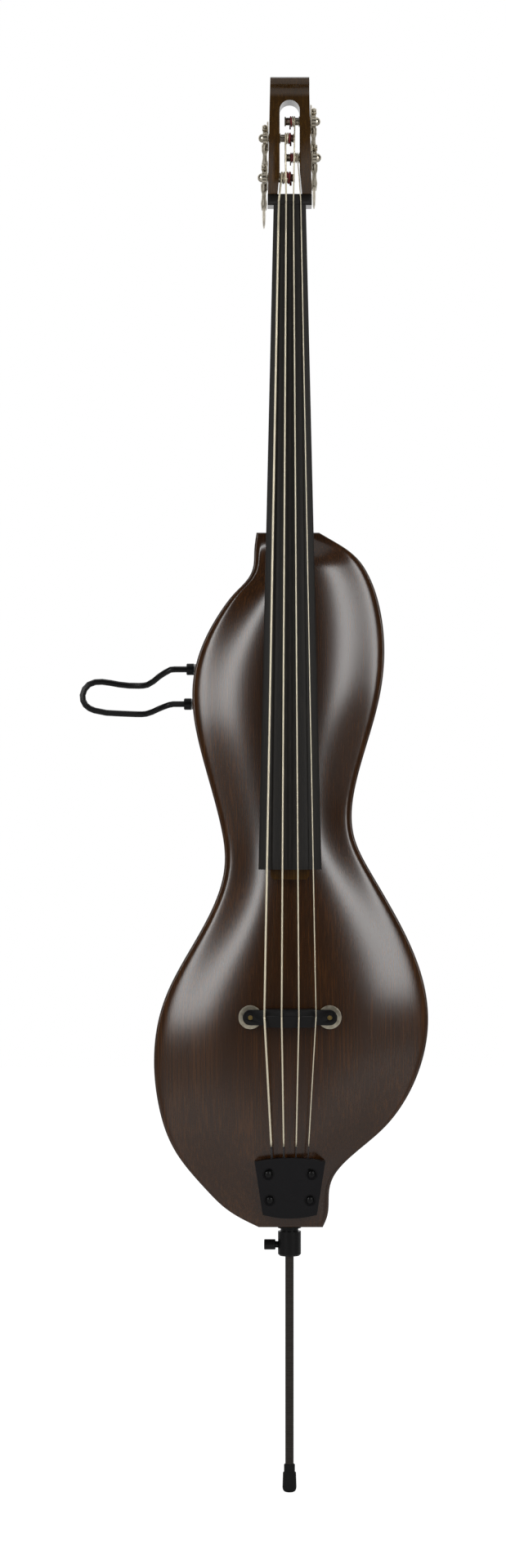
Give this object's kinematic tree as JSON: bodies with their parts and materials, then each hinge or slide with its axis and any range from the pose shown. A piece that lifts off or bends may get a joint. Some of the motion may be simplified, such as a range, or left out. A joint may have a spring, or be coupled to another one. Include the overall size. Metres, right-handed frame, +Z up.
{
  "type": "electric double bass",
  "caption": "Electric upright double bass: slim arched body, long fretless neck, open pegbox with geared tuners, crowned bridge on height wheels, side rest bar and sliding endpin.",
  "frame": {"origin": "centre of the flat sole of the rubber foot, on the floor, on the endpin axis; the player or a stand holds the instrument upright", "axes": "+Z up along the endpin and the neck; -Y the way the strings face; +X the player's view of the treble side, right in a front view"},
  "size_m": [0.4545, 0.1574, 1.838],
  "materials": {
    "endpin_rod": "dark satin steel",
    "rod_stop_ring": "plain steel",
    "rubber_foot": "matte black rubber",
    "body_top": "high gloss brown lacquer",
    "rim_bass_side": "high gloss brown lacquer",
    "rim_treble_side": "high gloss brown lacquer",
    "body_back": "high gloss brown lacquer",
    "centre_block": "bare spruce, unfinished",
    "neck": "high gloss brown lacquer",
    "stiffening_rod": "plain steel",
    "fingerboard": "ebony, oiled satin",
    "nut": "ebony, oiled satin",
    "tuner_plate_1": "nickel plate",
    "tuner_plate_2": "nickel plate",
    "tuner_plate_3": "nickel plate",
    "tuner_plate_4": "nickel plate",
    "tuner_bushing_1": "nickel plate",
    "tuner_bushing_2": "nickel plate",
    "tuner_bushing_3": "nickel plate",
    "tuner_bushing_4": "nickel plate",
    "string_e": "wound steel",
    "string_a": "wound steel",
    "string_d": "wound steel",
    "string_g": "wound steel",
    "bridge_stud_bass": "plain steel",
    "bridge_stud_treble": "plain steel",
    "tailpiece": "black satin plastic",
    "tail_screw_1": "black satin coating",
    "tail_screw_2": "black satin coating",
    "tail_screw_3": "black satin coating",
    "tail_screw_4": "black satin coating",
    "endpin_collar": "black satin coating",
    "endpin_guide_tube": "plain steel",
    "rest_socket_upper": "plain steel",
    "rest_socket_lower": "plain steel",
    "control_cover": "black satin plastic",
    "preamp_board": "green circuit board",
    "battery": "dark printed can",
    "output_jack": "nickel plate",
    "volume_pot": "plain steel",
    "tone_pot": "plain steel",
    "endpin_thumbscrew": "black satin coating",
    "tuner_key_1": "nickel plate",
    "tuner_post_1": "nickel plate",
    "tuner_key_2": "nickel plate",
    "tuner_post_2": "nickel plate",
    "tuner_key_3": "nickel plate",
    "tuner_post_3": "nickel plate",
    "tuner_key_4": "nickel plate",
    "tuner_post_4": "nickel plate",
    "bridge": "black satin coating",
    "pickup_strip": "black satin plastic",
    "height_wheel_bass": "nickel plate",
    "height_wheel_treble": "nickel plate",
    "volume_knob": "black satin plastic",
    "tone_knob": "black satin plastic",
    "battery_door": "black satin plastic",
    "side_rest": "black satin coating",
    "rest_lock_nut_upper": "black satin coating",
    "rest_lock_nut_lower": "black satin coating"
  },
  "bodies": {
    "endpin": {"endpin_rod": "endpin_rod", "rod_stop_ring": "rod_stop_ring", "rubber_foot": "rubber_foot"},
    "instrument": {"body_top": "body_top", "rim_bass_side": "rim_bass_side", "rim_treble_side": "rim_treble_side", "body_back": "body_back", "centre_block": "centre_block", "neck": "neck", "stiffening_rod": "stiffening_rod", "fingerboard": "fingerboard", "nut": "nut", "tuner_plate_1": "tuner_plate_1", "tuner_plate_2": "tuner_plate_2", "tuner_plate_3": "tuner_plate_3", "tuner_plate_4": "tuner_plate_4", "tuner_bushing_1": "tuner_bushing_1", "tuner_bushing_2": "tuner_bushing_2", "tuner_bushing_3": "tuner_bushing_3", "tuner_bushing_4": "tuner_bushing_4", "string_e": "string_e", "string_a": "string_a", "string_d": "string_d", "string_g": "string_g", "bridge_stud_bass": "bridge_stud_bass", "bridge_stud_treble": "bridge_stud_treble", "tailpiece": "tailpiece", "tail_screw_1": "tail_screw_1", "tail_screw_2": "tail_screw_2", "tail_screw_3": "tail_screw_3", "tail_screw_4": "tail_screw_4", "endpin_collar": "endpin_collar", "endpin_guide_tube": "endpin_guide_tube", "rest_socket_upper": "rest_socket_upper", "rest_socket_lower": "rest_socket_lower", "control_cover": "control_cover", "preamp_board": "preamp_board", "battery": "battery", "output_jack": "output_jack", "volume_pot": "volume_pot", "tone_pot": "tone_pot"},
    "thumbscrew": {"endpin_thumbscrew": "endpin_thumbscrew"},
    "key_1": {"tuner_key_1": "tuner_key_1"},
    "post_1": {"tuner_post_1": "tuner_post_1"},
    "key_2": {"tuner_key_2": "tuner_key_2"},
    "post_2": {"tuner_post_2": "tuner_post_2"},
    "key_3": {"tuner_key_3": "tuner_key_3"},
    "post_3": {"tuner_post_3": "tuner_post_3"},
    "key_4": {"tuner_key_4": "tuner_key_4"},
    "post_4": {"tuner_post_4": "tuner_post_4"},
    "bridge": {"bridge": "bridge", "pickup_strip": "pickup_strip"},
    "wheel_bass": {"height_wheel_bass": "height_wheel_bass"},
    "wheel_treble": {"height_wheel_treble": "height_wheel_treble"},
    "volume_knob": {"volume_knob": "volume_knob"},
    "tone_knob": {"tone_knob": "tone_knob"},
    "battery_door": {"battery_door": "battery_door"},
    "side_rest": {"side_rest": "side_rest"},
    "lock_nut_upper": {"rest_lock_nut_upper": "rest_lock_nut_upper"},
    "lock_nut_lower": {"rest_lock_nut_lower": "rest_lock_nut_lower"}
  },
  "joints": [
    {"name": "height_slide", "type": "slide", "parent": "endpin", "child": "instrument", "axis": [0, 0, 1], "range_m": [-0.25, 0.055]},
    {"name": "thumbscrew_turn", "type": "hinge", "parent": "instrument", "child": "thumbscrew", "pos_m": [-0.02, 0, 0.3225], "axis": [-1, 0, 0], "range_deg": [0, 720]},
    {"name": "key_1_turn", "type": "hinge", "parent": "instrument", "child": "key_1", "pos_m": [-0.03311, -0.01582, 1.71636], "axis": [0, -0.6691, 0.7431], "continuous": true},
    {"name": "post_1_turn", "type": "hinge", "parent": "instrument", "child": "post_1", "pos_m": [0, -0.024, 1.709], "axis": [1, 0, 0], "continuous": true},
    {"name": "key_2_turn", "type": "hinge", "parent": "instrument", "child": "key_2", "pos_m": [-0.032, -0.00583, 1.76936], "axis": [0, -0.6691, 0.7431], "continuous": true},
    {"name": "post_2_turn", "type": "hinge", "parent": "instrument", "child": "post_2", "pos_m": [0, -0.014, 1.762], "axis": [1, 0, 0], "continuous": true},
    {"name": "key_3_turn", "type": "hinge", "parent": "instrument", "child": "key_3", "pos_m": [0.03153, -0.00232, 1.79176], "axis": [0, -0.6691, 0.7431], "continuous": true},
    {"name": "post_3_turn", "type": "hinge", "parent": "instrument", "child": "post_3", "pos_m": [0, -0.0105, 1.7844], "axis": [1, 0, 0], "continuous": true},
    {"name": "key_4_turn", "type": "hinge", "parent": "instrument", "child": "key_4", "pos_m": [0.03254, -0.00983, 1.74336], "axis": [0, -0.6691, 0.7431], "continuous": true},
    {"name": "post_4_turn", "type": "hinge", "parent": "instrument", "child": "post_4", "pos_m": [0, -0.018, 1.736], "axis": [1, 0, 0], "continuous": true},
    {"name": "bridge_height", "type": "slide", "parent": "instrument", "child": "bridge", "axis": [0, -1, 0], "range_m": [-0.003, 0.003], "deforming": ["string_e", "string_a", "string_d", "string_g"]},
    {"name": "wheel_bass_turn", "type": "hinge", "parent": "bridge", "child": "wheel_bass", "pos_m": [-0.051, -0.055, 0.6225], "axis": [0, -1, 0], "range_deg": [-870, 870]},
    {"name": "wheel_treble_turn", "type": "hinge", "parent": "bridge", "child": "wheel_treble", "pos_m": [0.051, -0.055, 0.6225], "axis": [0, -1, 0], "range_deg": [-870, 870]},
    {"name": "volume_turn", "type": "hinge", "parent": "instrument", "child": "volume_knob", "pos_m": [-0.069, 0.0325, 0.5562], "axis": [0, 1, 0], "range_deg": [-150, 150]},
    {"name": "tone_turn", "type": "hinge", "parent": "instrument", "child": "tone_knob", "pos_m": [-0.107, 0.0325, 0.5562], "axis": [0, 1, 0], "range_deg": [-150, 150]},
    {"name": "battery_door_hinge", "type": "hinge", "parent": "instrument", "child": "battery_door", "pos_m": [-0.062, 0.0247, 0.6742], "axis": [-1, 0, 0], "range_deg": [0, 95]},
    {"name": "side_rest_slide", "type": "slide", "parent": "instrument", "child": "side_rest", "axis": [-1, 0, 0], "range_m": [0, 0.045]},
    {"name": "lock_nut_upper_turn", "type": "hinge", "parent": "instrument", "child": "lock_nut_upper", "pos_m": [-0.1295, 0, 1.0722], "axis": [-1, 0, 0], "range_deg": [0, 720]},
    {"name": "lock_nut_lower_turn", "type": "hinge", "parent": "instrument", "child": "lock_nut_lower", "pos_m": [-0.1325, 0, 1.0269], "axis": [-1, 0, 0], "range_deg": [0, 720]}
  ],
  "couplings": [
    {"joint": "post_1_turn", "follows": "key_1_turn", "ratio": -0.0625},
    {"joint": "post_2_turn", "follows": "key_2_turn", "ratio": -0.0625},
    {"joint": "post_3_turn", "follows": "key_3_turn", "ratio": 0.0625},
    {"joint": "post_4_turn", "follows": "key_4_turn", "ratio": 0.0625},
    {"joint": "wheel_bass_turn", "follows": "bridge_height", "rad_per_m": 5026.5},
    {"joint": "wheel_treble_turn", "follows": "bridge_height", "rad_per_m": 5026.5}
  ]
}
